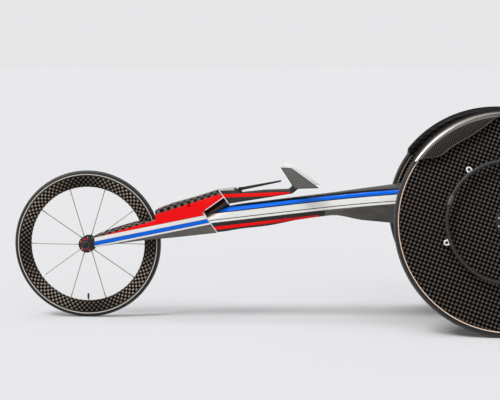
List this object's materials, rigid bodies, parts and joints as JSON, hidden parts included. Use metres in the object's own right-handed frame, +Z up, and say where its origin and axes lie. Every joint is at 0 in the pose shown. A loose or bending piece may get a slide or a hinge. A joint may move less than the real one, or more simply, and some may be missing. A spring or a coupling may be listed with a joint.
{
  "type": "racing wheelchair",
  "caption": "Racing wheelchair with a long carbon beam, kneeling cockpit, cambered disc wheels with push rims and a spoked front wheel in an inclined steering fork.",
  "frame": {"origin": "on the ground, under the middle of the length, in the chair's middle plane", "axes": "+X to the rear, +Y to the rider's right, +Z up"},
  "size_m": [1.8439, 0.6944, 0.6575],
  "materials": {
    "carbon_painted": "gloss lacquer over carbon, red, white and blue stripes",
    "carbon_bare": "satin twill carbon",
    "carbon_fender": "gloss fine twill carbon",
    "carbon_disc": "gloss plain weave carbon",
    "carbon_rim": "gloss plain weave carbon",
    "black_alloy": "black anodised",
    "black_lever": "satin black anodised",
    "alloy": "brushed",
    "steel": "polished",
    "brass_nipple": "plated",
    "red_anodised": "red anodised",
    "tyre_rubber": "matte, with a pale side line",
    "rim_rubber": "matte",
    "grip_rubber": "matte",
    "valve_black": "black anodised",
    "pad_fabric": "woven"
  },
  "bodies": {
    "chassis": {"main_beam": "carbon_painted", "cockpit_tub": "carbon_bare", "head_tube": "alloy", "head_bearings": "steel", "centring_sleeve": "grip_rubber", "axle_tube": "alloy", "camber_plug_left": "alloy", "camber_plug_right": "alloy", "plug_bolts": "steel", "quick_axle_left": "steel", "quick_axle_right": "steel", "seat_board": "carbon_bare", "seat_cushion": "pad_fabric", "back_pad": "pad_fabric", "knee_pad": "pad_fabric", "fender_left": "carbon_fender", "fender_right": "carbon_fender", "fender_spacers": "alloy", "fender_bolts": "steel"},
    "steering": {"fork_crown": "carbon_painted", "fork_blade_left": "carbon_painted", "fork_blade_right": "carbon_painted", "steerer": "steel", "handlebar": "carbon_painted", "cross_tube": "alloy", "grip_left": "grip_rubber", "grip_right": "grip_rubber", "lever_pin": "steel", "front_axle": "steel", "axle_nuts": "steel", "brake_pins": "steel"},
    "brake_lever": {"brake_lever": "black_lever"},
    "brake_arm_left": {"brake_arm_left": "black_alloy", "brake_pad_left": "grip_rubber"},
    "brake_arm_right": {"brake_arm_right": "black_alloy", "brake_pad_right": "grip_rubber"},
    "front_wheel": {"front_tyre": "tyre_rubber", "front_rim": "carbon_rim", "front_spokes": "steel", "spoke_nipples": "brass_nipple", "front_hub": "black_alloy", "hub_rings": "red_anodised", "front_bearings": "steel", "front_valve": "valve_black"},
    "rear_wheel_left": {"rear_tyre_left": "tyre_rubber", "rear_disc_left": "carbon_disc", "rear_hub_left": "black_alloy", "rear_bearings_left": "steel", "push_rim_left": "rim_rubber", "rim_posts_left": "alloy", "post_bolts_left": "steel"},
    "rear_wheel_right": {"rear_tyre_right": "tyre_rubber", "rear_disc_right": "carbon_disc", "rear_hub_right": "black_alloy", "rear_bearings_right": "steel", "push_rim_right": "rim_rubber", "rim_posts_right": "alloy", "post_bolts_right": "steel"},
    "axle_button_left": {"axle_button_left": "red_anodised"},
    "axle_button_right": {"axle_button_right": "red_anodised"}
  },
  "joints": [
    {"name": "steer", "type": "hinge", "parent": "chassis", "child": "steering", "pos_m": [-0.285, 0, 0.342], "axis": [0.8141, 0, 0.5807], "range_deg": [-12, 12], "stiffness_Nm_per_rad": 40},
    {"name": "front_wheel_spin", "type": "hinge", "parent": "steering", "child": "front_wheel", "pos_m": [-0.692, 0, 0.23], "axis": [0, 1, 0], "continuous": true},
    {"name": "brake_lever_pull", "type": "hinge", "parent": "steering", "child": "brake_lever", "pos_m": [-0.21363, -0.0132, 0.40499], "axis": [0, 1, 0], "range_deg": [0, 7], "stiffness_Nm_per_rad": 0.6, "springref_deg": -17.19},
    {"name": "brake_arm_left_close", "type": "hinge", "parent": "steering", "child": "brake_arm_left", "pos_m": [-0.442, -0.0185, 0.28152], "axis": [0, 0, -1], "range_deg": [0, 1.25]},
    {"name": "brake_arm_right_close", "type": "hinge", "parent": "steering", "child": "brake_arm_right", "pos_m": [-0.442, 0.0185, 0.28152], "axis": [0, 0, 1], "range_deg": [0, 1.25]},
    {"name": "rear_wheel_left_spin", "type": "hinge", "parent": "chassis", "child": "rear_wheel_left", "pos_m": [0.588, -0.255, 0.32442], "axis": [0, -0.9703, 0.2419], "continuous": true},
    {"name": "rear_wheel_right_spin", "type": "hinge", "parent": "chassis", "child": "rear_wheel_right", "pos_m": [0.588, 0.255, 0.32442], "axis": [0, 0.9703, 0.2419], "continuous": true},
    {"name": "axle_button_left_press", "type": "slide", "parent": "chassis", "child": "axle_button_left", "axis": [0, 0.9703, -0.2419], "range_m": [0, 0.003], "stiffness_N_per_m": 400, "springref_m": -0.002},
    {"name": "axle_button_right_press", "type": "slide", "parent": "chassis", "child": "axle_button_right", "axis": [0, -0.9703, -0.2419], "range_m": [0, 0.003], "stiffness_N_per_m": 400, "springref_m": -0.002}
  ],
  "couplings": [
    {"joint": "brake_arm_left_close", "follows": "brake_lever_pull", "ratio": 0.1714},
    {"joint": "brake_arm_right_close", "follows": "brake_lever_pull", "ratio": 0.1714}
  ]
}
